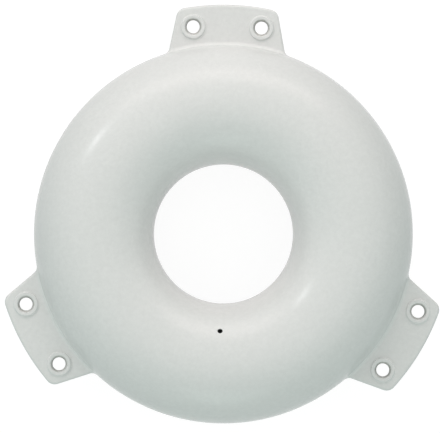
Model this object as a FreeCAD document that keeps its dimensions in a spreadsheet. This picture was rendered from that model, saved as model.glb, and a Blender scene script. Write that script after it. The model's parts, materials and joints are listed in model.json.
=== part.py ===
import FreeCAD, Part
import math
import os

import Sketcher
from FreeCAD import Vector

# Driving dimensions, in millimetres and degrees, with the cell names that every feature reads.
SIZES = [
    ("ring_diameter", 380.0, "outside of the inflated ring"),
    ("hole_diameter", 139.0, "central hole at its narrowest"),
    ("tab_count", 3, "tabs, evenly spaced round the ring"),
    ("tab_reach", 40.0, "how far a tab stands out from the ring"),
    ("tab_thickness", 10.0, "tab, between its front and back faces"),
    ("tab_root_width", 113.5, "tab's width where it leaves the ring"),
    ("tab_side_angle", 11.1, "how far each side of a tab leans in towards its outer edge"),
    ("tab_corner_radius", 10.0, "outer corners of a tab, seen from the front"),
    ("tab_edge_bevel", 1.8, "softening along a tab's front and back edges"),
    ("eyelet_spacing", 68.4, "between the two eyelets of a tab"),
    ("eyelet_margin", 20.0, "eyelet's centre to the tab's outer edge"),
    ("eyelet_hole_diameter", 13.0, "eyelet hole, for rope or a bolt"),
    ("rim_diameter", 24.0, "raised rim round an eyelet"),
    ("rim_height", 2.0, "rim above the tab's face, front and back"),
    ("valve_tilt", 33.6, "valve's place on the tube, from the crest towards the central hole"),
    ("valve_turn", -0.9, "valve's place round the ring, from the point opposite the first tab"),
    ("valve_recess", 0.5, "valve's face below the tube's surface"),
    ("valve_stem_diameter", 5.0, "valve's stem and visible face"),
    ("valve_neck_length", 4.0, "tube's wall that the stem passes through"),
    ("valve_collar_diameter", 9.0, "collar that holds the valve behind the wall"),
    ("valve_collar_length", 3.0, "collar, along the valve"),
    ("valve_tip_diameter", 6.0, "inner end of the valve"),
    ("valve_length", 14.0, "valve's inner end below the tube's surface"),
    ("valve_clearance", 0.05, "play all round between the valve and its seat"),
    ("needle_hole_diameter", 1.4, "hole for the pump's needle"),
    ("needle_hole_depth", 11.0, "needle hole, from the valve's face"),
]

# Lengths that follow from the driving ones, as expressions on the sheet's cells.
RING_RADIUS = "sizes.ring_diameter / 2"
TUBE_RADIUS = "(sizes.ring_diameter - sizes.hole_diameter) / 4"
CREST_RADIUS = "(sizes.ring_diameter + sizes.hole_diameter) / 4"
TAB_RADIUS = f"({RING_RADIUS} + sizes.tab_reach)"
TAB_INNER_HALF_WIDTH = f"(sizes.tab_root_width / 2 + {TUBE_RADIUS} * tan(sizes.tab_side_angle))"

# An eyelet's centre: across from its tab's middle line, and out from the ring's centre.
EYELET_ACROSS = "sizes.eyelet_spacing / 2"
EYELET_OUT = f"sqrt(({TAB_RADIUS} - sizes.eyelet_margin) ^ 2 - ({EYELET_ACROSS}) ^ 2)"
RIM_LENGTH = "sizes.tab_thickness + 2 * sizes.rim_height"

# The valve's seat: where its axis leaves the tube, as a radius and a height, and its frame,
# whose Z axis points straight out of the tube.
SEAT_RADIUS = f"({CREST_RADIUS} - {TUBE_RADIUS} * sin(sizes.valve_tilt))"
SEAT_HEIGHT = f"{TUBE_RADIUS} * cos(sizes.valve_tilt)"
SEAT_POINT = (
    f"vector({SEAT_RADIUS} * sin(sizes.valve_turn);"
    f" -{SEAT_RADIUS} * cos(sizes.valve_turn);"
    f" {SEAT_HEIGHT})"
)
SEAT_FRAME = f"placement({SEAT_POINT}; rotation(sizes.valve_turn; 0; -sizes.valve_tilt))"
# The plane through the valve's axis that its seat's profile is drawn in.
SEAT_PLANE = f"placement({SEAT_POINT}; rotation(sizes.valve_turn; 0; 90 - sizes.valve_tilt))"

NEAR = 1e-4

doc = FreeCAD.newDocument("ring_fender")


def make_sheet():
    """The sheet of driving dimensions: what each is, and its value under its cell name."""
    sheet = doc.addObject("Spreadsheet::Sheet", "sizes")
    for row, (alias, value, words) in enumerate(SIZES, start=1):
        sheet.set(f"A{row}", words)
        sheet.set(f"B{row}", str(value))
        sheet.setAlias(f"B{row}", alias)
    doc.recompute()
    return sheet


sheet = make_sheet()


def value_of(expression):
    """An expression's number now, in millimetres or degrees."""
    return float(sheet.evalExpression(expression.replace("sizes.", "")))


def add_feature(body, kind, name, **settings):
    """A new feature at the end of a body, with its settings; text is bound as an expression."""
    feature = body.newObject(f"PartDesign::{kind}", name)
    for key, setting in settings.items():
        if isinstance(setting, str) and "sizes." in setting:
            feature.setExpression(key, setting)
        else:
            setattr(feature, key, setting)
    body.Tip = feature
    doc.recompute()
    return feature


def add_cut(body, kind, name, **settings):
    """A feature that takes material away, which is checked."""
    before = body.Shape.Volume
    feature = add_feature(body, kind, name, **settings)
    if body.Shape.Volume >= before:
        raise RuntimeError(f"{name} cuts nothing")
    return feature


def origin_feature(body, role):
    """A body's own plane or axis."""
    return next(f for f in body.Origin.OriginFeatures if f.Role == role)


def add_sketch(body, name, plane, offset=None):
    """A sketch on one of the body's own planes, moved from it by an expression."""
    sketch = body.newObject("Sketcher::SketchObject", name)
    sketch.AttachmentSupport = [(origin_feature(body, plane), "")]
    sketch.MapMode = "FlatFace"
    if offset:
        sketch.setExpression("AttachmentOffset", offset)
        doc.recompute()
    return sketch


def bind(sketch, kind, *where, to):
    """A dimension of a sketch that follows an expression."""
    index = sketch.addConstraint(Sketcher.Constraint(kind, *where, value_of(to)))
    sketch.setExpression(f"Constraints[{index}]", to)


def place_point(sketch, element, point, across, up):
    """A sketch point at two expressions, measured from the sketch's origin."""
    for kind, axis, expression in (("DistanceX", -2, across), ("DistanceY", -1, up)):
        if expression == "0":
            sketch.addConstraint(Sketcher.Constraint("PointOnObject", element, point, axis))
        else:
            bind(sketch, kind, -1, 1, element, point, to=expression)


def draw_outline(sketch, points):
    """A closed outline of straight lines whose corners lie at pairs of expressions."""
    corners = [Vector(value_of(across), value_of(up), 0) for across, up in points]
    count = len(points)
    for n in range(count):
        sketch.addGeometry(Part.LineSegment(corners[n], corners[(n + 1) % count]))
    for n in range(count):
        sketch.addConstraint(Sketcher.Constraint("Coincident", n, 2, (n + 1) % count, 1))
    for n, (across, up) in enumerate(points):
        place_point(sketch, n, 1, across, up)


def edges_where(feature, test):
    """The names of a feature's edges that pass a test of the edge."""
    return [f"Edge{n}" for n, edge in enumerate(feature.Shape.Edges, start=1) if test(edge)]


def on_tube(point):
    """Whether a point lies on the tube's surface."""
    across = math.hypot(point.x, point.y) - value_of(CREST_RADIUS)
    return abs(math.hypot(across, point.z) - value_of(TUBE_RADIUS)) < NEAR


# The ring: tube, tabs and eyelets, one moulding


def make_tube(ring):
    """The inflated tube: a circle swept round the ring's axis."""
    section = add_sketch(ring, "tube_section", "XZ_Plane")
    centre = Vector(-value_of(CREST_RADIUS), 0, 0)
    section.addGeometry(Part.Circle(centre, Vector(0, 0, 1), value_of(TUBE_RADIUS)))
    place_point(section, 0, 3, f"-{CREST_RADIUS}", "0")
    bind(section, "Radius", 0, to=TUBE_RADIUS)
    add_feature(
        ring, "Revolution", "tube", Profile=section, ReferenceAxis=(section, ["V_Axis"]), Angle=360
    )


def draw_tab(sketch):
    """A tab seen from the front: an outer arc round the ring's centre and two sides that lean in,
    closed along a line inside the tube."""
    half_width = value_of("sizes.tab_root_width / 2")
    inner_half_width = value_of(TAB_INNER_HALF_WIDTH)
    root, outside, tip_radius = map(value_of, (CREST_RADIUS, RING_RADIUS, TAB_RADIUS))
    tip_angle = math.acos(half_width / tip_radius)
    tip = Vector(half_width, math.sqrt(tip_radius**2 - half_width**2), 0)
    circle = Part.Circle(Vector(0, 0, 0), Vector(0, 0, 1), tip_radius)
    inner = Vector(inner_half_width, root, 0)
    inner_left = Vector(-inner_half_width, root, 0)

    arc, left, base, right, mark = range(5)
    sketch.addGeometry(Part.ArcOfCircle(circle, tip_angle, math.pi - tip_angle))
    sketch.addGeometry(Part.LineSegment(Vector(-tip.x, tip.y, 0), inner_left))
    sketch.addGeometry(Part.LineSegment(inner_left, inner))
    sketch.addGeometry(Part.LineSegment(inner, tip))
    sketch.addGeometry(Part.Point(Vector(half_width, outside, 0)), True)
    for joined in (
        (arc, 3, -1, 1),
        (arc, 2, left, 1),
        (left, 2, base, 1),
        (base, 2, right, 1),
        (right, 2, arc, 1),
    ):
        sketch.addConstraint(Sketcher.Constraint("Coincident", *joined))
    bind(sketch, "Radius", arc, to=TAB_RADIUS)
    sketch.addConstraint(Sketcher.Constraint("Symmetric", arc, 1, arc, 2, -2))
    sketch.addConstraint(Sketcher.Constraint("Symmetric", base, 1, base, 2, -2))
    place_point(sketch, right, 1, TAB_INNER_HALF_WIDTH, CREST_RADIUS)
    # The side passes through the point where the root width is taken.
    place_point(sketch, mark, 1, "sizes.tab_root_width / 2", RING_RADIUS)
    sketch.addConstraint(Sketcher.Constraint("PointOnObject", mark, 1, right))


def make_tabs(ring):
    """One flat tab at the tube's mid-height, repeated round the ring."""
    outline = add_sketch(ring, "tab_outline", "XY_Plane")
    draw_tab(outline)
    tab = add_feature(
        ring, "Pad", "tab", Profile=outline, SideType="Symmetric", Length="sizes.tab_thickness"
    )
    repeat_round(ring, "tabs", [tab])


def repeat_round(ring, name, features):
    """Repeats the first tab's features on every tab."""
    add_feature(
        ring,
        "PolarPattern",
        name,
        Originals=features,
        Axis=(origin_feature(ring, "Z_Axis"), [""]),
        Angle=360,
        Occurrences="sizes.tab_count",
    )


def soften_tabs(ring):
    """The tabs' outer corners rounded, and their front and back edges bevelled."""
    tab_radius = value_of(TAB_RADIUS)
    face_height = value_of("sizes.tab_thickness / 2")

    def is_corner(edge):
        ends = [vertex.Point for vertex in edge.Vertexes]
        upright = len(ends) == 2 and (ends[1] - ends[0]).cross(Vector(0, 0, 1)).Length < NEAR
        return upright and abs(math.hypot(ends[0].x, ends[0].y) - tab_radius) < NEAR

    def is_rim_of_face(edge):
        points = edge.discretize(3)
        on_face = all(abs(abs(point.z) - face_height) < NEAR for point in points)
        return on_face and not all(on_tube(point) for point in points)

    corners = edges_where(ring.Tip, is_corner)
    add_feature(
        ring, "Fillet", "tab_corners", Base=(ring.Tip, corners), Radius="sizes.tab_corner_radius"
    )
    edges = edges_where(ring.Tip, is_rim_of_face)
    add_feature(ring, "Chamfer", "tab_edges", Base=(ring.Tip, edges), Size="sizes.tab_edge_bevel")


def draw_eyelets(sketch, diameter):
    """Two like circles, one round each eyelet of the first tab."""
    for eyelet, across in enumerate((EYELET_ACROSS, f"-{EYELET_ACROSS}")):
        centre = Vector(value_of(across), value_of(EYELET_OUT), 0)
        sketch.addGeometry(Part.Circle(centre, Vector(0, 0, 1), value_of(diameter) / 2))
        place_point(sketch, eyelet, 3, across, EYELET_OUT)
        bind(sketch, "Diameter", eyelet, to=diameter)


def make_eyelets(ring):
    """Two raised rims and their holes on the first tab, repeated with the tabs."""
    rim_circles = add_sketch(ring, "rim_circles", "XY_Plane")
    draw_eyelets(rim_circles, "sizes.rim_diameter")
    rims = add_feature(
        ring, "Pad", "rims", Profile=rim_circles, SideType="Symmetric", Length=RIM_LENGTH
    )
    hole_circles = add_sketch(ring, "hole_circles", "XY_Plane")
    draw_eyelets(hole_circles, "sizes.eyelet_hole_diameter")
    holes = add_cut(
        ring, "Pocket", "eyelet_holes", Profile=hole_circles, SideType="Symmetric", Length=RIM_LENGTH
    )
    repeat_round(ring, "eyelets", [rims, holes])


def valve_outline(clearance, top):
    """Half the valve's section, from its axis outwards, enlarged by a clearance. Heights are
    measured from the tube's surface, outwards."""
    stem = f"(sizes.valve_stem_diameter / 2 + {clearance})"
    collar = f"(sizes.valve_collar_diameter / 2 + {clearance})"
    tip = f"(sizes.valve_tip_diameter / 2 + {clearance})"
    collar_top = f"-sizes.valve_neck_length + {clearance}"
    collar_bottom = f"-sizes.valve_neck_length - sizes.valve_collar_length - {clearance}"
    bottom = f"-sizes.valve_length - {clearance}"
    return [
        ("0", bottom),
        (tip, bottom),
        (tip, collar_bottom),
        (collar, collar_bottom),
        (collar, collar_top),
        (stem, collar_top),
        (stem, top),
        ("0", top),
    ]


def cut_valve_seat(ring):
    """The hole that the valve is pushed into, square to the tube's surface."""
    section = add_sketch(ring, "valve_seat_section", "XY_Plane", SEAT_PLANE)
    above_surface = "sizes.valve_stem_diameter"
    draw_outline(section, valve_outline("sizes.valve_clearance", above_surface))
    add_cut(
        ring, "Groove", "valve_seat", Profile=section, ReferenceAxis=(section, ["V_Axis"]), Angle=360
    )


def make_ring():
    ring = doc.addObject("PartDesign::Body", "fender_ring")
    make_tube(ring)
    make_tabs(ring)
    soften_tabs(ring)
    make_eyelets(ring)
    cut_valve_seat(ring)
    return ring


# The valve: a rubber plug in the tube's wall


def make_valve():
    """A stem with a collar behind the tube's wall, and a blind hole for the pump's needle."""
    valve = doc.addObject("PartDesign::Body", "inflation_valve")
    valve.setExpression("Placement", SEAT_FRAME)
    section = add_sketch(valve, "valve_section", "XZ_Plane")
    face = "-sizes.valve_recess"
    draw_outline(section, valve_outline("0", face))
    add_feature(
        valve, "Revolution", "plug", Profile=section, ReferenceAxis=(section, ["V_Axis"]), Angle=360
    )
    bore_section = add_sketch(valve, "needle_hole_section", "XZ_Plane")
    bore = "sizes.needle_hole_diameter / 2"
    bottom = f"{face} - sizes.needle_hole_depth"
    draw_outline(bore_section, [("0", bottom), (bore, bottom), (bore, face), ("0", face)])
    add_cut(
        valve,
        "Groove",
        "needle_hole",
        Profile=bore_section,
        ReferenceAxis=(bore_section, ["V_Axis"]),
        Angle=360,
    )
    return valve


def check_and_export(bodies):
    """Stops at any feature that failed, then writes each piece's solid."""
    doc.recompute()
    for thing in doc.Objects:
        if "Invalid" in thing.State or "Error" in thing.State:
            raise RuntimeError(f"{thing.Name} failed: {thing.State}")
    for body in bodies:
        if body.Shape.isNull() or not body.Shape.isValid() or len(body.Shape.Solids) != 1:
            raise RuntimeError(f"{body.Label} is not one valid solid")
    os.makedirs("parts", exist_ok=True)
    for body in bodies:
        body.Shape.exportStep(f"parts/{body.Label}.step")


check_and_export([make_ring(), make_valve()])
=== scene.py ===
"""The looks of a ring fender: an inflated ring of soft white vinyl with three eyelet tabs moulded on and a
black needle valve in its front. Everything is in metres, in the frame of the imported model."""

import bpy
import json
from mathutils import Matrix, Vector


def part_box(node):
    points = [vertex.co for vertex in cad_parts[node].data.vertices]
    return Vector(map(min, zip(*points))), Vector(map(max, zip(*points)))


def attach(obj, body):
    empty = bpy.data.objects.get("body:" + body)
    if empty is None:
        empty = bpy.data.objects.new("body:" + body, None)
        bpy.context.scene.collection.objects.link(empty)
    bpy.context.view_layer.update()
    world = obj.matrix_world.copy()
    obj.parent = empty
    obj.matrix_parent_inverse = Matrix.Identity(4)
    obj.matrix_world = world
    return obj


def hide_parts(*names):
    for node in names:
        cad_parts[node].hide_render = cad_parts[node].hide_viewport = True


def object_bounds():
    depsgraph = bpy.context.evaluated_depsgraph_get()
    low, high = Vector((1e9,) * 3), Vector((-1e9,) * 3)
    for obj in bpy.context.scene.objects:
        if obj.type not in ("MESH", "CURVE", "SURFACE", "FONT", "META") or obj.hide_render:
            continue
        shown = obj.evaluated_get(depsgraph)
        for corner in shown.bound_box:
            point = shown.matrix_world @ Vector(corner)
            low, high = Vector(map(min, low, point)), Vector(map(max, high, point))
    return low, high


bl_info = {
    "name": "Ring fender",
    "version": (1, 0, 0),
    "blender": (4, 5, 0),
    "location": "3D View > Sidebar > Ring fender",
    "description": "Dresses a soft vinyl ring fender, with its inflation valve, on a plain lit floor",
    "category": "Object",
}

import json
import math
from types import SimpleNamespace

import bmesh
import bpy
import numpy as np
from bpy.props import FloatProperty, FloatVectorProperty, IntProperty, PointerProperty
from bpy.types import Operator, Panel, PropertyGroup
from mathutils import Matrix, Vector
from mathutils.geometry import delaunay_2d_cdt

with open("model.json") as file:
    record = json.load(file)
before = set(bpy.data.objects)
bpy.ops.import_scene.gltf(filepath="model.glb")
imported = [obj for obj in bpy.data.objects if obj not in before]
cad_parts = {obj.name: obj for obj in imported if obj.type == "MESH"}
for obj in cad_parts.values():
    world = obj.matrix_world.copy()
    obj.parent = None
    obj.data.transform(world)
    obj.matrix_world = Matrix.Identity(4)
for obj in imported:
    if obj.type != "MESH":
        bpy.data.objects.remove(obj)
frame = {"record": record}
CAD_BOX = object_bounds()
RING_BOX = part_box("fender_ring")
FIRST_TAB = next(m for m in frame["record"]["mounts"] if m["name"] == "first_tab_eyelets")

MM = 0.001
WHITE = (1, 1, 1, 1)
RING_RADIUS = -RING_BOX[0].y
TUBE_RADIUS = (RING_BOX[1].z - RING_BOX[0].z) / 2
TAB_REACH = RING_BOX[1].y - RING_RADIUS

# Steps of the mesh: even cells on the tube, finer ones on the small rounded edges.
TUBE_STEP = math.radians(3.75)
RING_STEP = math.radians(1.25)
EDGE_STEPS = 6
SIDE_STEPS = 12
CORNER_STEPS = 14
ARC_STEPS = 20
ROOT_STEPS = 24
ROOT_ROWS = 8
CIRCLE_STEPS = 48
FOOT_STEPS = 4
RIM_STEPS = 5
LIP_STEPS = 4
FLAT_STEP = 4.5 * MM
SEAT_PATCH_RADIUS = 9 * MM
SHARP_ANGLE = math.radians(40)

# Room between even cells and a border beside them, in cells.
BORDER_ROOM = 0.6

# How far the holes' own finish, whose darker colour is painted shade, reaches into the rounding of their
# edge, as a share of its radius.
BORED_REACH = 0.25

# How points are worked out: the step that a slope is measured over, the rounds that bring a point to its
# place, the distance under which two points are one, the same for flat points brought to a width of about
# one, and Blender's name for triangles within borders only.
SLOPE_STEP = 1e-6
MEET_ROUNDS = 12
MERGE_DISTANCE = 0.01 * MM
BORDER_EPSILON = 1e-9
WITHIN_BORDERS = 1

# The photograph: its size, the ring's centre in it, the ring's turn to the right and its scale.
PHOTO_WIDTH, PHOTO_HEIGHT = 440, 433
PHOTO_CENTRE = (223.4, 234.0)
PHOTO_TURN = math.radians(1.08)
METRES_PER_PIXEL = 1.003 * MM

# The lamps: bearing in the photograph, up from its right side, and lean from the upward axis, in degrees,
# then distance, width and height in metres. Below them stands how far the camera sees.
KEY_PLACE = {"bearing": 143.3, "lean": 57, "distance": 4.0, "width": 0.43, "height": 0.43}
WINDOW_PLACE = {"bearing": 90, "lean": 62, "distance": 2.0, "width": 3.0, "height": 1.0}
FILL_PLACE = {"bearing": 270, "lean": 70, "distance": 2.0, "width": 1.0, "height": 1.0}
CAMERA_REACH = 100.0

# The range that nearly all of a cloudy pattern fills, a narrower one that gives the patches of painted shade
# in the eyelet holes, and Blender's name for soft ends of a range.
CLOUDS = (0.3, 0.7)
HOLE_SHADE_PATCHES = (0.35, 0.65)
SOFT = "SMOOTHSTEP"


def linear(colour):
    """An sRGB hex colour as linear red, green and blue."""
    parts = [int(colour[i : i + 2], 16) / 255 for i in (1, 3, 5)]
    return tuple(p / 12.92 if p <= 0.04045 else ((p + 0.055) / 1.055) ** 2.4 for p in parts)


def length(name, default, description):
    return FloatProperty(name=name, default=default, description=description, unit="LENGTH", precision=5)


def angle(name, default, description):
    return FloatProperty(name=name, default=math.radians(default), description=description, unit="ROTATION")


def colour(name, default, description):
    return FloatVectorProperty(
        name=name, default=linear(default), description=description, subtype="COLOR", size=3, min=0, max=1
    )


def number(name, default, description):
    return FloatProperty(name=name, default=default, description=description)


def power(name, default, description):
    return FloatProperty(name=name, default=default, description=description, unit="POWER")


class RingSizes(PropertyGroup):
    """The moulding: the inflated tube, its tabs and their eyelets."""

    ring_diameter: length("Ring diameter", 2 * RING_RADIUS, "Over the tube, seen from the front")
    tube_diameter: length("Tube diameter", 2 * TUBE_RADIUS, "The tube's round section")
    tab_count: IntProperty(name="Tabs", default=3, min=1, description="Tabs spread evenly round the ring")
    tab_reach: length("Tab reach", TAB_REACH, "From the tube to a tab's outer edge")
    tab_thickness: length("Tab thickness", 10 * MM, "Two layers of vinyl, welded flat")
    tab_root_width: length("Tab root width", 113.5 * MM, "Across a tab where it leaves the tube")
    tab_side_angle: angle("Tab side angle", 11.1, "How far each side leans in")
    tab_corner_radius: length("Tab corner radius", 10 * MM, "Outer corners, seen from the front")
    tab_edge_radius: length("Tab edge radius", 2.5 * MM, "Rounding along a tab's edges")
    root_radius: length("Root radius", 3.5 * MM, "Blend from a tab into the tube")
    eyelet_spacing: length("Eyelet spacing", FIRST_TAB["dims"]["pcd_mm"] * MM, "Between a tab's two eyelets")
    eyelet_out: length("Eyelet place", FIRST_TAB["pos_m"][1], "From the ring's centre to the eyelets' line")
    hole_diameter: length("Eyelet hole", 2 * FIRST_TAB["dims"]["hole_r_mm"] * MM, "Takes the rope or bolt")
    hole_taper: angle("Eyelet taper", 15.2, "How far the hole opens from the middle plane to each face")
    mouth_radius: length("Eyelet mouth", 0.6 * MM, "Rounding of the hole's edge")
    rim_diameter: length("Rim diameter", 24 * MM, "Raised rim round each eyelet")
    rim_height: length("Rim height", 2 * MM, "How far the rim stands up from the tab")
    rim_edge_radius: length("Rim edge", 0.9 * MM, "Rounding of the rim's outer edge")
    rim_foot_radius: length("Rim foot", 0.9 * MM, "Blend from the rim into the tab")


class ValveSizes(PropertyGroup):
    """The rubber needle valve, set square to the tube."""

    tilt: angle("Tilt", 33.6, "From the tube's crest towards the central hole")
    turn: angle("Turn", -0.9, "Round the ring, from the point opposite the first tab")
    recess: length("Recess", 0.5 * MM, "Valve's face below the tube's surface")
    stem_diameter: length("Stem diameter", 5 * MM, "The part that shows")
    neck_length: length("Neck length", 4 * MM, "From the tube's surface to the collar")
    collar_diameter: length("Collar diameter", 9 * MM, "Keeps the valve in the vinyl")
    collar_length: length("Collar length", 3 * MM, "Thickness of the collar")
    tip_diameter: length("Tip diameter", 6 * MM, "Inner end, which closes round the needle")
    full_length: length("Length", 14 * MM, "From the tube's surface to the inner end")
    clearance: length("Clearance", 0.05 * MM, "Round the valve in its seat")
    lip_radius: length("Lip radius", 0.5 * MM, "Rounding of the seat's mouth")
    needle_diameter: length("Needle hole", 1.4 * MM, "Takes the pump's needle")
    needle_depth: length("Needle hole depth", 11 * MM, "Below the valve's face")
    needle_mouth: length("Needle mouth", 0.45 * MM, "Funnel round the needle hole")
    edge_radius: length("Edge radius", 0.35 * MM, "Rounding of the valve's face")


class Finishes(PropertyGroup):
    """Colours and gloss of the vinyl and the rubber."""

    vinyl_colour: colour("Vinyl", "#E6E6E5", "Off-white plasticised PVC")
    vinyl_shade: colour("Vinyl mottle", "#E4E4E3", "Where the skin is a little thicker")
    vinyl_speckle: colour("Vinyl speckle", "#DFDFDE", "Fine grain of the satin skin")
    vinyl_ior: number("Vinyl IOR", 1.53, "Plasticised PVC")
    vinyl_roughness: number("Vinyl roughness", 0.25, "Semi-gloss skin from a satin mould")
    roughness_spread: number("Roughness spread", 0.02, "How far each grain's roughness departs from that")
    vinyl_specular: number("Vinyl specular level", 0.25, "Strength of the vinyl's sheen")
    # The hole walls' two colours are painted shade: darker than the skin, and darker still in random patches.
    hole_shade_colour: colour("Bored vinyl", "#DADAD9", "Bare vinyl in the eyelet holes")
    hole_shade_patches_colour: colour("Hole dust", "#CECEC9", "Where dust clings to the bored vinyl")
    bored_roughness: number("Bored roughness", 0.7, "Matt, because the skin is cut away there")
    bored_specular: number("Bored specular level", 0.05, "Sheen of the bored vinyl")
    bored_step: length("Bore mark spacing", 0.5 * MM, "Between the rings that the cutter leaves")
    bored_depth: length("Bore mark depth", 0.02 * MM, "Depth of those rings")
    mottle_size: length("Mottle size", 60 * MM, "Across one patch of the mottle")
    speckle_size: length("Speckle size", 4.5 * MM, "Across one grain, coarser than real so that it shows")
    peel_size: length("Orange peel size", 3 * MM, "From one low hump to the next")
    peel_depth: length("Orange peel depth", 0.012 * MM, "Height of the humps")
    wave_size: length("Waviness size", 35 * MM, "From one slow wave to the next")
    wave_depth: length("Waviness depth", 0.06 * MM, "Height of the slow waves")
    parting_width: length("Parting line width", 0.9 * MM, "Trimmed line where the mould's halves met")
    parting_height: length("Parting line height", 0.12 * MM, "How far that line stands up")
    parting_roughness: number("Parting line roughness", 0.12, "Added where the line was trimmed")
    rubber_colour: colour("Valve rubber", "#050506", "Carbon black rubber")
    rubber_roughness: number("Rubber roughness", 0.75, "Nearly matt")
    rubber_specular: number("Rubber specular level", 0.1, "Strength of the rubber's sheen")
    rubber_grain: length("Rubber grain size", 0.25 * MM, "Across one grain")
    rubber_depth: length("Rubber grain depth", 0.02 * MM, "Height of the grains")
    rubber_relief: number("Rubber relief", 0.5, "Strength of the grain")


class StageSettings(PropertyGroup):
    """The floor, the lights and the camera."""

    camera_height: length("Camera height", 8.0, "Above the ring's middle plane")
    floor_size: length("Floor size", 8.0, "Edge of the square floor")
    key_power: power("Key power", 16.5, "Small lamp, upper left")
    window_power: power("Window power", 17.9, "Wide lamp, past the top")
    window_colour: colour("Window", "#FFEEED", "A little warmer than the room")
    fill_power: power("Fill power", 3.6, "Past the bottom")
    fill_colour: colour("Fill", "#F0FFF6", "A little cooler than the room")
    zenith_colour: colour("Zenith", "#D6D6D3", "Even light from above")
    horizon_colour: colour("Horizon", "#BED6D3", "Even light from low all round")
    board_colour: colour("Board", "#7C7C7C", "The floor as its light reaches the ring")
    shaded_colour: colour("Shaded board", "#707070", "What the ring's shadow darkens in the camera's view")
    board_glow: number("Board glow", 0.92, "What stays bright in that shadow")


def union_with_fillet(first, second, radius):
    """The distance to two forms joined by a hollow blend."""
    hollow = np.hypot(np.maximum(radius - first, 0), np.maximum(radius - second, 0))
    return np.maximum(radius, np.minimum(first, second)) - hollow


def overlap_with_rounding(first, second, radius):
    """The distance to what two forms share, with the edge between them rounded."""
    round_edge = np.hypot(np.maximum(radius + first, 0), np.maximum(radius + second, 0))
    return np.minimum(-radius, np.maximum(first, second)) + round_edge


class Moulding:
    """The ring's form as distances in metres, below zero inside the vinyl.

    Points are rows of x, y and z. The first tab is centred on +Y."""

    def __init__(self, sizes, valve):
        self.sizes = sizes
        self.ring_radius = sizes.ring_diameter / 2
        self.tube_radius = sizes.tube_diameter / 2
        self.crest_radius = self.ring_radius - self.tube_radius
        self.tip_radius = self.ring_radius + sizes.tab_reach
        self.half_thickness = sizes.tab_thickness / 2
        self.side_normal = np.array([math.cos(sizes.tab_side_angle), math.sin(sizes.tab_side_angle)])
        self.side_direction = np.array([-self.side_normal[1], self.side_normal[0]])
        self.side_point = np.array([sizes.tab_root_width / 2, self.ring_radius])
        corner_line = self.side_point - sizes.tab_corner_radius * self.side_normal
        corner_circle = self.tip_radius - sizes.tab_corner_radius
        self.corner = along_circle(corner_line, self.side_direction, corner_circle)
        self.eyelet = np.array([sizes.eyelet_spacing / 2, sizes.eyelet_out])
        self.valve_frame = valve_frame(self, valve)
        self.seat_radius = valve.stem_diameter / 2 + valve.clearance
        self.lip_radius = valve.lip_radius

    def by_first_tab(self, points):
        """Each point's place across and along the tab nearest to it, as if it lay right of its middle."""
        sector = 2 * math.pi / self.sizes.tab_count
        turn = np.arctan2(points[:, 0], points[:, 1])
        turn = np.abs(turn - sector * np.round(turn / sector))
        reach = np.hypot(points[:, 0], points[:, 1])
        return reach * np.sin(turn), reach * np.cos(turn)

    def tube(self, points):
        across = np.hypot(points[:, 0], points[:, 1]) - self.crest_radius
        return np.hypot(across, points[:, 2]) - self.tube_radius

    def plate(self, points):
        """A tab without its eyelets, reaching into the tube."""
        across, along = self.by_first_tab(points)
        flat = np.stack([across, along], axis=1)
        side = (flat - self.side_point) @ self.side_normal
        tip = np.hypot(across, along) - self.tip_radius
        past_side = (flat - self.corner) @ self.side_direction > 0
        past_tip = across * self.corner[1] > along * self.corner[0]
        bend = np.hypot(*(flat - self.corner).T) - self.sizes.tab_corner_radius
        outline = np.where(past_side & past_tip, bend, np.maximum(tip, side))
        outline = np.maximum(outline, self.crest_radius - along)
        return overlap_with_rounding(
            outline, np.abs(points[:, 2]) - self.half_thickness, self.sizes.tab_edge_radius
        )

    def tab(self, points):
        """A tab with its rims and eyelet holes."""
        across, along = self.by_first_tab(points)
        from_eyelet = np.hypot(across - self.eyelet[0], along - self.eyelet[1])
        rim_top = np.abs(points[:, 2]) - self.half_thickness - self.sizes.rim_height
        rim_side = from_eyelet - self.sizes.rim_diameter / 2
        rim = overlap_with_rounding(rim_side, rim_top, self.sizes.rim_edge_radius)
        solid = union_with_fillet(self.plate(points), rim, self.sizes.rim_foot_radius)
        taper = self.sizes.hole_taper
        hole = self.sizes.hole_diameter / 2 + np.abs(points[:, 2]) * math.tan(taper)
        bore = (hole - from_eyelet) * math.cos(taper)
        return overlap_with_rounding(solid, bore, self.sizes.mouth_radius)

    def in_hole(self, points):
        """Which points lie on an eyelet hole's wall."""
        across, along = self.by_first_tab(points)
        from_eyelet = np.hypot(across - self.eyelet[0], along - self.eyelet[1])
        hole = self.sizes.hole_diameter / 2 + np.abs(points[:, 2]) * math.tan(self.sizes.hole_taper)
        return from_eyelet < hole + BORED_REACH * self.sizes.mouth_radius

    def seat_bore(self, points):
        """What lies outside the valve's hole. The hole is as deep only as the tube's surface needs."""
        local = (points - self.valve_frame.origin) @ self.valve_frame.axes.T
        from_axis = np.hypot(local[:, 0], local[:, 1])
        near = np.abs(local[:, 2]) - 2 * self.seat_radius
        return -np.maximum(from_axis - self.seat_radius, near)

    def skin(self, points):
        """The whole moulding."""
        joined = union_with_fillet(self.tube(points), self.tab(points), self.sizes.root_radius)
        return overlap_with_rounding(joined, self.seat_bore(points), self.lip_radius)


def valve_frame(moulding, valve):
    """Where the valve's axis meets the tube, with the axis pointing out as the third of its axes."""
    turn = -math.pi / 2 + valve.turn
    outward = np.array([math.cos(turn), math.sin(turn), 0])
    sideways = np.array([-math.sin(turn), math.cos(turn), 0])
    upward = np.array([0, 0, 1])
    axis = math.cos(valve.tilt) * upward - math.sin(valve.tilt) * outward
    origin = moulding.crest_radius * outward + moulding.tube_radius * axis
    return SimpleNamespace(origin=origin, axes=np.stack([sideways, np.cross(axis, sideways), axis]))


def slope(distance, points):
    """The direction in which a distance grows at each point."""
    steps = np.eye(3) * SLOPE_STEP
    rises = [distance(points + step) - distance(points - step) for step in steps]
    return np.stack(rises, axis=1) / (2 * SLOPE_STEP)


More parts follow.
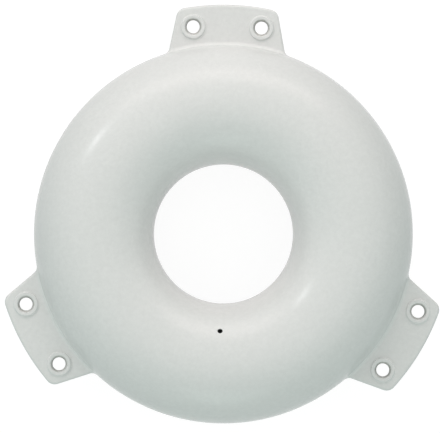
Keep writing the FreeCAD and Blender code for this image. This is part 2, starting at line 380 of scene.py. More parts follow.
def meet(points, distances, targets):
    """Moves each point the shortest way to where each distance has its target."""
    for _ in range(MEET_ROUNDS):
        gaps = np.stack([d(points) - target for d, target in zip(distances, targets)], axis=1)
        slopes = np.stack([slope(d, points) for d in distances], axis=1)
        points = points - np.einsum("nij,nj->ni", np.linalg.pinv(slopes), gaps)
    return points


class Patches:
    """Points and faces gathered patch by patch. Borders meet point on point and are merged later."""

    def __init__(self):
        self.points = []
        self.faces = []

    def add(self, points, faces):
        first = len(self.points)
        self.points += [tuple(p) for p in points]
        self.faces += [tuple(first + i for i in face) for face in faces]

    def add_strips(self, rows, closed=False, skip=None):
        """Four-sided cells between rows of as many points each."""
        count = len(rows[0])
        columns = range(count if closed else count - 1)
        cells = []
        for j in range(len(rows) - 1):
            here, above = j * count, (j + 1) * count
            for i in columns:
                after = (i + 1) % count
                if not (skip and skip(i, j)):
                    cells.append((here + i, here + after, above + after, above + i))
        self.add(np.concatenate(rows), cells)


def inside(points, outline):
    """Which flat points lie within a closed outline."""
    found = np.zeros(len(points), bool)
    for start, end in zip(outline, np.roll(outline, -1, axis=0)):
        spans = (start[1] > points[:, 1]) != (end[1] > points[:, 1])
        rise = np.where(spans, end[1] - start[1], 1)
        crossing = start[0] + (points[:, 1] - start[1]) * (end[0] - start[0]) / rise
        found ^= spans & (points[:, 0] < crossing)
    return found


def triangles_between(outline, hole=(), extra=()):
    """Triangles over flat points: a closed outline, a hole's outline and points between them."""
    parts = [np.asarray(part, float).reshape(-1, 2) for part in (outline, hole, extra)]
    flat = np.concatenate(parts)
    ends = np.cumsum([len(part) for part in parts])
    loops = [range(ends[0]), range(ends[0], ends[1])]
    edges = [(loop[i - 1], loop[i]) for loop in loops for i in range(len(loop))]
    scale = 1 / np.ptp(flat)
    coords = [Vector(p) for p in flat * scale]
    _, _, faces, origins, _, _ = delaunay_2d_cdt(coords, edges, [], WITHIN_BORDERS, BORDER_EPSILON)
    faces = np.array([[origins[i][0] for i in face] for face in faces])
    if len(parts[1]):
        faces = faces[~inside(flat[faces].mean(axis=1), parts[1])]
    return faces


def along_circle(point, direction, radius):
    """Where a flat line from a point crosses a circle round the ring's centre."""
    ahead = point @ direction
    return point + direction * (math.sqrt(ahead**2 - point @ point + radius**2) - ahead)


def edge_line(moulding, inset, height):
    """A tab's outline from the root of its right side to its middle, at a height, moved in by an inset."""
    sizes = moulding.sizes
    normal = moulding.side_normal
    reach = moulding.tube_radius + sizes.root_radius
    root_circle = moulding.crest_radius + math.sqrt(reach**2 - height**2)
    start = along_circle(moulding.side_point - inset * normal, moulding.side_direction, root_circle)

    corner, centre = sizes.tab_corner_radius, moulding.corner
    side_turn = math.atan2(normal[0], normal[1])
    tip_turn = math.atan2(centre[0], centre[1])
    side_end = centre + (corner - inset) * normal
    side = start + np.linspace(0, 1, SIDE_STEPS + 1)[:, None] * (side_end - start)
    turns = np.linspace(side_turn, tip_turn, CORNER_STEPS + 1)[1:]
    bend = centre + (corner - inset) * np.stack([np.sin(turns), np.cos(turns)], axis=1)
    turns = np.linspace(tip_turn, 0, ARC_STEPS + 1)[1:]
    arc = (moulding.tip_radius - inset) * np.stack([np.sin(turns), np.cos(turns)], axis=1)
    flat = np.concatenate([side, bend, arc])
    return np.column_stack([flat, np.full(len(flat), height)])


def add_tab_edge(patches, moulding):
    """The tab's wall and its rounding, from the middle plane up. Returns its rows of points."""
    radius = moulding.sizes.tab_edge_radius
    rows = [edge_line(moulding, 0, 0)]
    for turn in np.linspace(0, math.pi / 2, EDGE_STEPS + 1):
        height = moulding.half_thickness - radius + radius * math.sin(turn)
        rows.append(edge_line(moulding, radius - radius * math.cos(turn), height))
    patches.add_strips(rows)
    return rows


def add_root_blend(patches, moulding, edge_rows):
    """The blend that runs up the tab's side, over its edge and across its face. Returns its border on the
    tab's face and its border on the tube."""
    radius = moulding.sizes.root_radius
    up_the_side = [row[0] for row in edge_rows]
    last = up_the_side[-1]
    turns = np.linspace(math.atan2(last[0], last[1]), 0, ROOT_STEPS + 1)[1:]
    out = math.hypot(last[0], last[1])
    across_face = [(out * math.sin(t), out * math.cos(t), last[2]) for t in turns]
    rows = [np.array(up_the_side + across_face)]
    for turn in np.linspace(0, math.pi / 2, ROOT_ROWS + 1)[1:]:
        targets = (radius - radius * math.sin(turn), radius - radius * math.cos(turn))
        rows.append(meet(rows[-1], (moulding.tube, moulding.plate), targets))
    patches.add_strips(rows)
    return rows[0][len(up_the_side) - 1 :], rows[-1]


def add_tube(patches, moulding, root_border):
    """The tube's even cells, with an opening round the tab's root, and the triangles in that opening."""

    def on_tube(turns, lifts):
        turns, lifts = np.broadcast_arrays(turns, lifts)
        out = moulding.crest_radius + moulding.tube_radius * np.cos(lifts)
        height = moulding.tube_radius * np.sin(lifts)
        return np.stack([out * np.sin(turns), out * np.cos(turns), height], axis=-1)

    half_sector = math.pi / moulding.sizes.tab_count
    turns = np.linspace(0, half_sector, round(half_sector / RING_STEP) + 1)
    lifts = np.linspace(0, math.pi, round(math.pi / TUBE_STEP) + 1)
    root_turns = np.arctan2(root_border[:, 0], root_border[:, 1])
    root_lifts = np.arctan2(
        root_border[:, 2], np.hypot(root_border[:, 0], root_border[:, 1]) - moulding.crest_radius
    )
    wide = int(root_turns.max() / turns[1] + BORDER_ROOM) + 1
    high = int(root_lifts.max() / lifts[1] + BORDER_ROOM) + 1
    patches.add_strips([on_tube(turns, lift) for lift in lifts], skip=lambda i, j: i < wide and j < high)

    opening_turns = [turns[i] for i in range(wide + 1)] + [turns[wide]] * high
    opening_lifts = [lifts[high]] * (wide + 1) + [lifts[j] for j in reversed(range(high))]
    all_turns = np.concatenate([root_turns, opening_turns])
    all_lifts = np.concatenate([root_lifts, opening_lifts])
    flat = np.stack([all_turns * moulding.ring_radius, all_lifts * moulding.tube_radius], axis=1)
    points = np.concatenate([root_border, on_tube(np.array(opening_turns), np.array(opening_lifts))])
    patches.add(points, triangles_between(flat))


def ring_of(centre, radius, height):
    """Points round an eyelet at one radius and height."""
    turns = np.arange(CIRCLE_STEPS) * 2 * math.pi / CIRCLE_STEPS
    across, along = centre[0] + radius * np.cos(turns), centre[1] + radius * np.sin(turns)
    return np.column_stack([across, along, np.full(CIRCLE_STEPS, height)])


def add_face(patches, moulding, root_line, edge_top):
    """The tab's flat face, round its eyelet's rim."""
    sizes = moulding.sizes
    height = moulding.half_thickness
    rim_radius = sizes.rim_diameter / 2 + sizes.rim_foot_radius
    hole = ring_of(moulding.eyelet, rim_radius, height)
    middle = np.linspace(root_line[-1], edge_top[-1], int(sizes.tab_reach / FLAT_STEP) + 1)[1:-1]
    outline = np.concatenate([root_line, middle, edge_top[:0:-1]])

    low, high = outline.min(axis=0), outline.max(axis=0)
    grid = np.meshgrid(np.arange(low[0], high[0], FLAT_STEP), np.arange(low[1], high[1], FLAT_STEP))
    grid = np.stack([grid[0].ravel(), grid[1].ravel()], axis=1)
    border = np.concatenate([outline, hole])[:, :2]
    room = np.hypot(*(grid[:, None] - border[None]).transpose(2, 0, 1)).min(axis=1)
    clear = room > BORDER_ROOM * FLAT_STEP
    grid = grid[clear & inside(grid, outline[:, :2]) & ~inside(grid, hole[:, :2])]
    faces = triangles_between(outline[:, :2], hole[:, :2], grid)
    grid = np.column_stack([grid, np.full(len(grid), height)])
    patches.add(np.concatenate([outline, hole, grid]), faces)


def rounding(centre, radius, start, end, steps):
    """Points of a section's rounding, from one angle to another."""
    turns = np.linspace(start, end, steps + 1)
    return [(centre[0] + radius * math.cos(t), centre[1] + radius * math.sin(t)) for t in turns]


def add_eyelet(patches, moulding):
    """A rim and its tapered hole: the blend at the rim's foot, its wall, its edge, its flat top, the hole's
    rounded edge and the hole down to the middle plane."""
    sizes = moulding.sizes
    face, rim, taper = moulding.half_thickness, sizes.rim_diameter / 2, sizes.hole_taper
    top = face + sizes.rim_height
    foot, edge, mouth = sizes.rim_foot_radius, sizes.rim_edge_radius, sizes.mouth_radius
    mouth_height = top - mouth
    mouth_place = sizes.hole_diameter / 2 + mouth_height * math.tan(taper) + mouth / math.cos(taper)
    quarter = math.pi / 2
    section = rounding((rim + foot, face + foot), foot, 3 * quarter, 2 * quarter, FOOT_STEPS)
    section += rounding((rim - edge, top - edge), edge, 0, quarter, RIM_STEPS)
    rows = [ring_of(moulding.eyelet, radius, height) for radius, height in section]
    section = rounding((mouth_place, mouth_height), mouth, quarter, 2 * quarter - taper, RIM_STEPS)
    for radius, height in section:
        rows.append(meet(ring_of(moulding.eyelet, radius, height), (moulding.tab,), (0,)))
    rows.append(ring_of(moulding.eyelet, sizes.hole_diameter / 2, 0))
    patches.add_strips(rows, closed=True)


def mesh_from(name, patches):
    """A mesh of patches, with their borders merged and their faces turned one way."""
    mesh = bpy.data.meshes.new(name)
    mesh.from_pydata(patches.points, [], patches.faces)
    bm = bmesh.new()
    bm.from_mesh(mesh)
    bmesh.ops.delete(bm, geom=[v for v in bm.verts if not v.link_faces], context="VERTS")
    bmesh.ops.remove_doubles(bm, verts=bm.verts, dist=MERGE_DISTANCE)
    bmesh.ops.recalc_face_normals(bm, faces=bm.faces)
    bm.to_mesh(mesh)
    bm.free()
    return mesh


def quarter_sector(moulding):
    """The piece that the whole moulding repeats: one half of a tab and of the tube to the next tab, on the
    front's side of the middle plane."""
    patches = Patches()
    edge_rows = add_tab_edge(patches, moulding)
    root_line, root_border = add_root_blend(patches, moulding, edge_rows)
    add_face(patches, moulding, root_line, edge_rows[-1])
    add_eyelet(patches, moulding)
    add_tube(patches, moulding, root_border)
    return mesh_from("quarter_sector", patches)


def add_node(tree, kind, values=None, links=None, **settings):
    """Adds a node with its settings, input values and links."""
    node = tree.nodes.new(kind)
    for name, value in settings.items():
        setattr(node, name, value)
    for socket, value in (values or {}).items():
        node.inputs[socket].default_value = value
    for socket, source in (links or {}).items():
        tree.links.new(source, node.inputs[socket])
    return node


def repeat_tree():
    """Mirrors the quarter sector across the tab's middle and the middle plane, and repeats it round Z."""
    tree = bpy.data.node_groups.new("Ring of tabs", "GeometryNodeTree")
    sockets = (
        ("Quarter sector", "NodeSocketGeometry"),
        ("Tabs", "NodeSocketInt"),
        ("Merge distance", "NodeSocketFloat"),
        ("Vinyl", "NodeSocketMaterial"),
    )
    for name, kind in sockets:
        tree.interface.new_socket(name, in_out="INPUT", socket_type=kind)
    tree.interface.new_socket("Moulding", in_out="OUTPUT", socket_type="NodeSocketGeometry")
    given = add_node(tree, "NodeGroupInput").outputs

    # First across the tab's middle, then across the middle plane.
    half = given["Quarter sector"]
    for scale in ((-1, 1, 1), (1, 1, -1)):
        turned = add_node(tree, "GeometryNodeTransform", {"Scale": scale}, {"Geometry": half})
        flipped = add_node(tree, "GeometryNodeFlipFaces", links={"Mesh": turned.outputs["Geometry"]})
        joined = add_node(tree, "GeometryNodeJoinGeometry")
        tree.links.new(half, joined.inputs["Geometry"])
        tree.links.new(flipped.outputs["Mesh"], joined.inputs["Geometry"])
        half = joined.outputs["Geometry"]

    points = add_node(tree, "GeometryNodePoints", links={"Count": given["Tabs"]})
    share = add_node(tree, "ShaderNodeMath", {0: 2 * math.pi}, {1: given["Tabs"]}, operation="DIVIDE")
    index = add_node(tree, "GeometryNodeInputIndex")
    links = {0: index.outputs["Index"], 1: share.outputs["Value"]}
    turn = add_node(tree, "ShaderNodeMath", links=links, operation="MULTIPLY")
    rotation = add_node(tree, "ShaderNodeCombineXYZ", links={"Z": turn.outputs["Value"]})
    placed = add_node(
        tree,
        "GeometryNodeInstanceOnPoints",
        links={"Points": points.outputs[0], "Instance": half, "Rotation": rotation.outputs["Vector"]},
    )
    real = add_node(tree, "GeometryNodeRealizeInstances", links={"Geometry": placed.outputs["Instances"]})
    merged = add_node(
        tree,
        "GeometryNodeMergeByDistance",
        links={"Geometry": real.outputs["Geometry"], "Distance": given["Merge distance"]},
    )
    smooth = add_node(tree, "GeometryNodeSetShadeSmooth", links={"Geometry": merged.outputs["Geometry"]})
    dressed = add_node(
        tree,
        "GeometryNodeSetMaterial",
        links={"Geometry": smooth.outputs["Geometry"], "Material": given["Vinyl"]},
    )
    result = add_node(tree, "NodeGroupOutput")
    tree.links.new(dressed.outputs["Geometry"], result.inputs["Moulding"])
    return tree


def repeated(mesh, tree, values):
    """The plain mesh that a node tree makes from a mesh."""
    source = bpy.data.objects.new("source", mesh)
    bpy.context.scene.collection.objects.link(source)
    modifier = source.modifiers.new("repeat", "NODES")
    modifier.node_group = tree
    for item in tree.interface.items_tree:
        if item.in_out == "INPUT" and item.name in values:
            modifier[item.identifier] = values[item.name]
    graph = bpy.context.evaluated_depsgraph_get()
    result = bpy.data.meshes.new_from_object(source.evaluated_get(graph))
    source.modifiers.remove(modifier)
    bpy.data.objects.remove(source)
    return result


def border_loop(edges):
    """The points of a closed border, in order."""
    edges = set(edges)
    edge = edges.pop()
    loop = [edge.verts[0], edge.verts[1]]
    while edges:
        edge = next(e for e in loop[-1].link_edges if e in edges)
        edges.remove(edge)
        loop.append(edge.other_vert(loop[-1]))
    return loop[:-1]


def around_valve(moulding, radius, depth):
    """Points round the valve's axis at one radius, at a depth below the tube's surface on that axis."""
    turns = np.arange(CIRCLE_STEPS) * 2 * math.pi / CIRCLE_STEPS
    local = np.column_stack([radius * np.cos(turns), radius * np.sin(turns), np.full(CIRCLE_STEPS, -depth)])
    return moulding.valve_frame.origin + local @ moulding.valve_frame.axes


def cut_seat(mesh, moulding, valve):
    """Opens the tube's front at the valve and lines the opening with the valve's seat."""
    place = moulding.valve_frame
    bm = bmesh.new()
    bm.from_mesh(mesh)
    near = [f for f in bm.faces if (f.calc_center_median() - Vector(place.origin)).length < SEAT_PATCH_RADIUS]
    vinyl_index = near[0].material_index
    bmesh.ops.delete(bm, geom=near, context="FACES")
    border = border_loop([e for e in bm.edges if e.is_boundary])

    lip, bore = moulding.lip_radius, moulding.seat_radius
    outer = around_valve(moulding, bore + lip, 0)
    outer = meet(outer, (moulding.tube, moulding.seat_bore), (0, -lip))
    # Half as many points on a wider circle keep the triangles between the lip and the border even.
    between = meet(around_valve(moulding, 2 * bore, 0)[::2], (moulding.tube,), (0,))
    border_points = np.array([v.co for v in border])
    flat = [(part - place.origin) @ place.axes[:2].T for part in (border_points, outer, between)]
    triangles = triangles_between(*flat)

    rows = [outer]
    for turn in np.linspace(0, math.pi / 2, LIP_STEPS + 1)[1:]:
        targets = (lip * math.cos(turn) - lip, lip * math.sin(turn) - lip)
        rows.append(meet(rows[-1], (moulding.tube, moulding.seat_bore), targets))
    collar_top = valve.neck_length - valve.clearance
    collar_foot = valve.neck_length + valve.collar_length + valve.clearance
    collar = valve.collar_diameter / 2 + valve.clearance
    tip = valve.tip_diameter / 2 + valve.clearance
    end = valve.full_length + valve.clearance
    section = [(bore, collar_top), (collar, collar_top), (collar, collar_foot)]
    section += [(tip, collar_foot), (tip, end)]
    smooth_rows = len(rows)
    rows += [around_valve(moulding, radius, depth) for radius, depth in section]

    new = [bm.verts.new(p) for part in rows for p in part]
    middle = [bm.verts.new(p) for p in between]
    lining = list(border) + new[:CIRCLE_STEPS] + middle
    for triangle in triangles:
        bm.faces.new([lining[i] for i in triangle]).smooth = True
    for j in range(len(rows) - 1):
        for i in range(CIRCLE_STEPS):
            after = (i + 1) % CIRCLE_STEPS
            corners = (j * CIRCLE_STEPS + i, j * CIRCLE_STEPS + after)
            quad = [new[c] for c in corners] + [new[c + CIRCLE_STEPS] for c in reversed(corners)]
            bm.faces.new(quad).smooth = j < smooth_rows
    bm.faces.new(new[-CIRCLE_STEPS:]).smooth = False
    for face in bm.faces:
        face.material_index = vinyl_index
    bmesh.ops.recalc_face_normals(bm, faces=bm.faces)
    bm.to_mesh(mesh)
    bm.free()


def follow_true_surface(mesh, moulding):
    """Shades the smooth faces by the true form's own direction at each point."""
    points = np.empty(len(mesh.vertices) * 3)
    mesh.vertices.foreach_get("co", points)
    normals = slope(moulding.skin, points.reshape(-1, 3))
    normals /= np.linalg.norm(normals, axis=1, keepdims=True)
    corners = np.empty(len(mesh.loops), int)
    mesh.loops.foreach_get("vertex_index", corners)
    per_corner = normals[corners]
    for polygon in mesh.polygons:
        if not polygon.use_smooth:
            per_corner[polygon.loop_start : polygon.loop_start + polygon.loop_total] = 0
    mesh.normals_split_custom_set(per_corner.tolist())


def finish_hole_walls(mesh, moulding, material):
    """Gives the walls of the eyelet holes a finish of their own, whose darker colour is painted shade."""
    centres = np.empty(len(mesh.polygons) * 3)
    mesh.polygons.foreach_get("center", centres)
    indices = np.empty(len(mesh.polygons), int)
    mesh.polygons.foreach_get("material_index", indices)
    indices[moulding.in_hole(centres.reshape(-1, 3))] = len(mesh.materials)
    mesh.materials.append(material)
    mesh.polygons.foreach_set("material_index", indices)


def new_material(name):
    material = bpy.data.materials.new(name)
    material.use_nodes = True
    tree = material.node_tree
    tree.nodes.clear()
    return material, tree


def pattern(tree, where, size, detail=2, roughness=0.5, reach=(0, 1), blend="LINEAR"):
    """A cloudy pattern with grains about so many metres across. The range that it reaches over is spread
    from 0 to 1."""
    texture = {"Scale": 1 / size, "Detail": detail, "Roughness": roughness}
    clouds = add_node(tree, "ShaderNodeTexNoise", texture, {"Vector": where}).outputs["Fac"]
    spread = add_node(
        tree,
        "ShaderNodeMapRange",
        {"From Min": reach[0], "From Max": reach[1]},
        {"Value": clouds},
        interpolation_type=blend,
    )
    return spread.outputs["Result"]


def vinyl_material(finishes):
    """Plasticised PVC, rotationally moulded in a satin mould: an even off-white with a soft sheen, a barely
    seen mottle, a grain and an orange peel that break up the gloss, both drawn coarser than real so that
    they show, and a parting line round the middle plane."""
    material, tree = new_material("Rotomoulded PVC vinyl")
    where = add_node(tree, "ShaderNodeTexCoord").outputs["Object"]
    mottle = pattern(tree, where, finishes.mottle_size, detail=3, roughness=0.6, reach=CLOUDS, blend=SOFT)
    speckle = pattern(tree, where, finishes.speckle_size, detail=3, roughness=0.7, reach=CLOUDS)
    peel = pattern(tree, where, finishes.peel_size)
    wave = pattern(tree, where, finishes.wave_size, detail=1)
    skin = {"A": (*finishes.vinyl_colour, 1), "B": (*finishes.vinyl_shade, 1)}
    skin = add_node(tree, "ShaderNodeMix", skin, {"Factor": mottle}, data_type="RGBA").outputs["Result"]
    links = {"Factor": speckle, "A": skin}
    grained = add_node(
        tree, "ShaderNodeMix", {"B": (*finishes.vinyl_speckle, 1)}, links, data_type="RGBA"
    )

    # The parting line stands up fully over the middle third of its width.
    height = add_node(tree, "ShaderNodeSeparateXYZ", links={"Vector": where}).outputs["Z"]
    from_middle = add_node(tree, "ShaderNodeMath", links={0: height}, operation="ABSOLUTE").outputs[0]
    half_line = finishes.parting_width / 2
    on_line = add_node(
        tree,
        "ShaderNodeMapRange",
        {"From Min": half_line, "From Max": half_line / 3},
        {"Value": from_middle},
        interpolation_type=SOFT,
    ).outputs["Result"]
    shares = add_node(tree, "ShaderNodeCombineXYZ", links={"X": on_line, "Y": peel, "Z": wave}).outputs[0]
    depths = {1: (finishes.parting_height, finishes.peel_depth, finishes.wave_depth)}
    raised = add_node(tree, "ShaderNodeVectorMath", depths, {0: shares}, operation="DOT_PRODUCT")
    relief = add_node(
        tree, "ShaderNodeBump", {"Strength": 1, "Distance": 1}, {"Height": raised.outputs["Value"]}
    )

    spread = finishes.roughness_spread
    satin = {1: 2 * spread, 2: finishes.vinyl_roughness - spread}
    satin = add_node(tree, "ShaderNodeMath", satin, {0: speckle}, operation="MULTIPLY_ADD").outputs[0]
    added, links = {1: finishes.parting_roughness}, {0: on_line, 2: satin}
    rough = add_node(tree, "ShaderNodeMath", added, links, operation="MULTIPLY_ADD").outputs[0]
    shader = add_node(
        tree,
        "ShaderNodeBsdfPrincipled",
        {"IOR": finishes.vinyl_ior, "Specular IOR Level": finishes.vinyl_specular},
        {
            "Base Color": grained.outputs["Result"],
            "Roughness": rough,
            "Normal": relief.outputs["Normal"],
        },
    )
    add_node(tree, "ShaderNodeOutputMaterial", links={"Surface": shader.outputs["BSDF"]})
    return material


def bored_shaded_material(finishes):
    """Plasticised PVC, bored after moulding: matt walls with the cutter's fine rings, darker than the skin
    and darker still in random patches: painted shade in the holes.
    """
    material, tree = new_material("Bored PVC vinyl")
    where = add_node(tree, "ShaderNodeTexCoord").outputs["Object"]
    shade_patches = pattern(tree, where, finishes.speckle_size, reach=HOLE_SHADE_PATCHES, blend=SOFT)
    # Both colours are darker than the skin's: painted shade on the holes' walls, deeper in random patches.
    walls = {"A": (*finishes.hole_shade_colour, 1), "B": (*finishes.hole_shade_patches_colour, 1)}
    shaded_walls = add_node(tree, "ShaderNodeMix", walls, {"Factor": shade_patches}, data_type="RGBA")
    height = add_node(tree, "ShaderNodeSeparateXYZ", links={"Vector": where}).outputs["Z"]
    half_step = finishes.bored_step / 2
    rings = add_node(tree, "ShaderNodeMath", {1: half_step}, {0: height}, operation="PINGPONG")
    relief = add_node(
        tree,
        "ShaderNodeBump",
        {"Strength": 1, "Distance": finishes.bored_depth / half_step},
        {"Height": rings.outputs[0]},
    )
    shader = add_node(
        tree,
        "ShaderNodeBsdfPrincipled",
        {
            "Roughness": finishes.bored_roughness,
            "IOR": finishes.vinyl_ior,
            "Specular IOR Level": finishes.bored_specular,
        },
        {"Base Color": shaded_walls.outputs["Result"], "Normal": relief.outputs["Normal"]},
    )
    add_node(tree, "ShaderNodeOutputMaterial", links={"Surface": shader.outputs["BSDF"]})
    return material


def rubber_material(finishes):
    """Moulded black rubber: nearly matt, with a fine even grain."""
    material, tree = new_material("Black EPDM rubber")
    where = add_node(tree, "ShaderNodeTexCoord").outputs["Object"]
    relief = add_node(
        tree,
        "ShaderNodeBump",
        {"Strength": finishes.rubber_relief, "Distance": finishes.rubber_depth},
        {"Height": pattern(tree, where, finishes.rubber_grain)},
    )
    shader = add_node(
        tree,
        "ShaderNodeBsdfPrincipled",
        {
            "Base Color": (*finishes.rubber_colour, 1),
            "Roughness": finishes.rubber_roughness,
            "Specular IOR Level": finishes.rubber_specular,
        },
        {"Normal": relief.outputs["Normal"]},
    )
    add_node(tree, "ShaderNodeOutputMaterial", links={"Surface": shader.outputs["BSDF"]})
    return material


def show(name, mesh):
    piece = bpy.data.objects.new(name, mesh)
    bpy.context.scene.collection.objects.link(piece)
    return piece


class FENDER_OT_ring(Operator):
    """Build the inflated ring with its tabs and eyelets."""

    bl_idname = "fender.ring"
    bl_label = "Ring and tabs"

    def execute(self, context):
        scene = context.scene
        moulding = Moulding(scene.fender_sizes, scene.fender_valve)
        quarter = quarter_sector(moulding)
        values = {
            "Tabs": scene.fender_sizes.tab_count,
            "Merge distance": MERGE_DISTANCE,
            "Vinyl": vinyl_material(scene.fender_finishes),
        }
        mesh = repeated(quarter, repeat_tree(), values)
        cut_seat(mesh, moulding, scene.fender_valve)
        follow_true_surface(mesh, moulding)
        # The holes' walls get a darker colour: painted shade in the eyelet holes.
        finish_hole_walls(mesh, moulding, bored_shaded_material(scene.fender_finishes))
        piece = show("ring_moulding", mesh)
        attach(piece, "root")
        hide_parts("fender_ring")
        return {"FINISHED"}


class FENDER_OT_valve(Operator):
    """Build the rubber needle valve in its seat."""

    bl_idname = "fender.valve"
    bl_label = "Inflation valve"

    def execute(self, context):
        scene = context.scene
        valve = scene.fender_valve
        moulding = Moulding(scene.fender_sizes, valve)
        stem, needle = valve.stem_diameter / 2, valve.needle_diameter / 2
        collar, tip = valve.collar_diameter / 2, valve.tip_diameter / 2
        face, mouth, edge = valve.recess, valve.needle_mouth, valve.edge_radius
        collar_foot = valve.neck_length + valve.collar_length
        quarter = math.pi / 2
        section = [(needle, face + valve.needle_depth)]
        section += rounding((needle + mouth, face + mouth), mouth, 2 * quarter, 3 * quarter, LIP_STEPS)
        section += rounding((stem - edge, face + edge), edge, -quarter, 0, LIP_STEPS)
        section += [(stem, valve.neck_length), (collar, valve.neck_length), (collar, collar_foot)]
        section += [(tip, collar_foot), (tip, valve.full_length)]
        patches = Patches()
        rows = [around_valve(moulding, radius, depth) for radius, depth in section]
        patches.add_strips(rows, closed=True)
        last = len(patches.points)
        patches.faces.append(tuple(range(CIRCLE_STEPS)))
        patches.faces.append(tuple(range(last - CIRCLE_STEPS, last)))
        mesh = mesh_from("needle_valve", patches)
        mesh.shade_smooth()
        mesh.set_sharp_from_angle(angle=SHARP_ANGLE)
        mesh.materials.append(rubber_material(scene.fender_finishes))
        piece = show("needle_valve", mesh)
        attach(piece, "root")
        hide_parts("inflation_valve")
        return {"FINISHED"}


def area_lamp(name, watts, tint, bearing, lean, distance, width, height):
    """An oval lamp that looks at the ring's centre."""
    bearing, lean = math.radians(bearing) + PHOTO_TURN, math.radians(lean)
    lamp = bpy.data.lights.new(name, "AREA")
    lamp.shape = "ELLIPSE"
    lamp.size = width
    lamp.size_y = height
    lamp.energy = watts
    lamp.color = tint
    holder = bpy.data.objects.new(name, lamp)
    bpy.context.scene.collection.objects.link(holder)
    away = Vector((math.sin(lean) * math.cos(bearing), math.sin(lean) * math.sin(bearing), math.cos(lean)))
    holder.location = distance * away
    holder.rotation_euler = away.to_track_quat("Z", "Y").to_euler()
    return holder


def seen_directly(tree):
    """One for what the camera sees, straight or in a reflection or through glass, and nought otherwise."""
    path = add_node(tree, "ShaderNodeLightPath")
    seen = path.outputs["Is Camera Ray"]
    for ray in ("Is Glossy Ray", "Is Transmission Ray"):
        links = {0: seen, 1: path.outputs[ray]}
        seen = add_node(tree, "ShaderNodeMath", links=links, operation="MAXIMUM").outputs["Value"]
    return seen


def floor_material(stage):
    """A matt board. It throws its light on the ring as a plain one, but the camera and reflections see it
    glow, as the white background with the ring's faint shadow."""
    material, tree = new_material("White board")
    board = add_node(tree, "ShaderNodeBsdfDiffuse", {"Color": (*stage.board_colour, 1)})
    shadowed = add_node(tree, "ShaderNodeBsdfDiffuse", {"Color": (*stage.shaded_colour, 1)})
    glow = add_node(tree, "ShaderNodeEmission", {"Color": WHITE, "Strength": stage.board_glow})
    bright = add_node(tree, "ShaderNodeAddShader", links={0: shadowed.outputs[0], 1: glow.outputs[0]})
    mixed = add_node(
        tree,
        "ShaderNodeMixShader",
        links={"Fac": seen_directly(tree), 1: board.outputs[0], 2: bright.outputs[0]},
    )
    add_node(tree, "ShaderNodeOutputMaterial", links={"Surface": mixed.outputs[0]})
    return material


def light_world(stage):
    """Even light from all round, cooler towards the horizon. The camera and reflections see white."""
    world = bpy.data.worlds.new("Studio")
    world.use_nodes = True
    tree = world.node_tree
    tree.nodes.clear()
    direction = add_node(tree, "ShaderNodeTexCoord").outputs["Generated"]
    height = add_node(tree, "ShaderNodeSeparateXYZ", links={"Vector": direction}).outputs["Z"]
    room = {"A": (*stage.horizon_colour, 1), "B": (*stage.zenith_colour, 1)}
    sky = add_node(tree, "ShaderNodeMix", room, {"Factor": height}, data_type="RGBA")
    even = add_node(tree, "ShaderNodeBackground", links={"Color": sky.outputs["Result"]})
    white = add_node(tree, "ShaderNodeBackground", {"Color": WHITE, "Strength": 1})
    mixed = add_node(
        tree,
        "ShaderNodeMixShader",
        links={"Fac": seen_directly(tree), 1: even.outputs[0], 2: white.outputs[0]},
    )
    add_node(tree, "ShaderNodeOutputWorld", links={"Surface": mixed.outputs[0]})
    bpy.context.scene.world = world


def add_camera(height):
    """Straight down, as in the photograph, with the ring's centre where the photograph has it."""
    camera = bpy.data.cameras.new("camera")
    field = PHOTO_WIDTH * METRES_PER_PIXEL
    camera.lens = camera.sensor_width * height / field
    camera.clip_end = CAMERA_REACH
    holder = bpy.data.objects.new("camera", camera)
    bpy.context.scene.collection.objects.link(holder)
    across = (PHOTO_WIDTH / 2 - PHOTO_CENTRE[0]) * METRES_PER_PIXEL
    up = (PHOTO_CENTRE[1] - PHOTO_HEIGHT / 2) * METRES_PER_PIXEL
    turn = Matrix.Rotation(PHOTO_TURN, 4, "Z")
    holder.location = turn @ Vector((across, up, height))
    holder.rotation_euler = (0, 0, PHOTO_TURN)
    bpy.context.scene.camera = holder


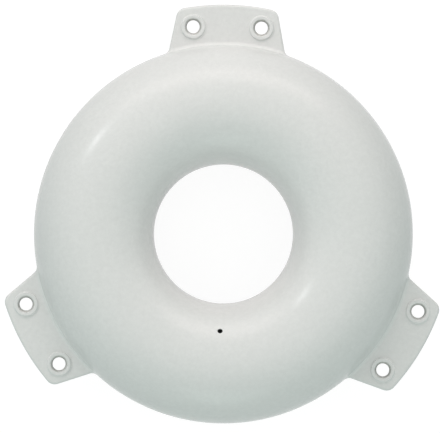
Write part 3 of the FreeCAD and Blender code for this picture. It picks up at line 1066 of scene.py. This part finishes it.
class FENDER_OT_stage(Operator):
    """Lay the floor, hang the lamps and set up the camera."""

    bl_idname = "fender.stage"
    bl_label = "Floor, lights and camera"

    def execute(self, context):
        stage = context.scene.fender_stage
        half = stage.floor_size / 2
        height = CAD_BOX[0][2]
        corners = [(-half, -half, height), (half, -half, height), (half, half, height), (-half, half, height)]
        mesh = bpy.data.meshes.new("floor")
        mesh.from_pydata(corners, [], [(0, 1, 2, 3)])
        mesh.materials.append(floor_material(stage))
        show("floor", mesh)
        light_world(stage)
        area_lamp("key_lamp", stage.key_power, WHITE[:3], **KEY_PLACE)
        area_lamp("window_lamp", stage.window_power, stage.window_colour, **WINDOW_PLACE)
        area_lamp("fill_lamp", stage.fill_power, stage.fill_colour, **FILL_PLACE)
        add_camera(stage.camera_height)
        context.scene.view_settings.view_transform = "Standard"
        return {"FINISHED"}


class FENDER_PT_panel(Panel):
    """Lists the fender's sizes and the steps that build it."""

    bl_idname = "FENDER_PT_panel"
    bl_label = "Ring fender"
    bl_space_type = "VIEW_3D"
    bl_region_type = "UI"
    bl_category = "Ring fender"

    def draw(self, context):
        scene = context.scene
        for settings in (scene.fender_sizes, scene.fender_valve, scene.fender_finishes, scene.fender_stage):
            box = self.layout.box()
            for name in settings.__annotations__:
                box.prop(settings, name)
        for step in STEPS:
            self.layout.operator(step.bl_idname)


STEPS = (FENDER_OT_ring, FENDER_OT_valve, FENDER_OT_stage)
SETTINGS = (
    ("fender_sizes", RingSizes),
    ("fender_valve", ValveSizes),
    ("fender_finishes", Finishes),
    ("fender_stage", StageSettings),
)


def register():
    for _, kind in SETTINGS:
        bpy.utils.register_class(kind)
    for kind in (*STEPS, FENDER_PT_panel):
        bpy.utils.register_class(kind)
    for name, kind in SETTINGS:
        setattr(bpy.types.Scene, name, PointerProperty(type=kind))


def unregister():
    for name, _ in SETTINGS:
        delattr(bpy.types.Scene, name)
    for kind in (FENDER_PT_panel, *reversed(STEPS)):
        bpy.utils.unregister_class(kind)
    for _, kind in reversed(SETTINGS):
        bpy.utils.unregister_class(kind)


def main():
    register()
    bpy.ops.fender.ring()
    bpy.ops.fender.valve()
    bpy.ops.fender.stage()


if __name__ == "__main__":
    main()
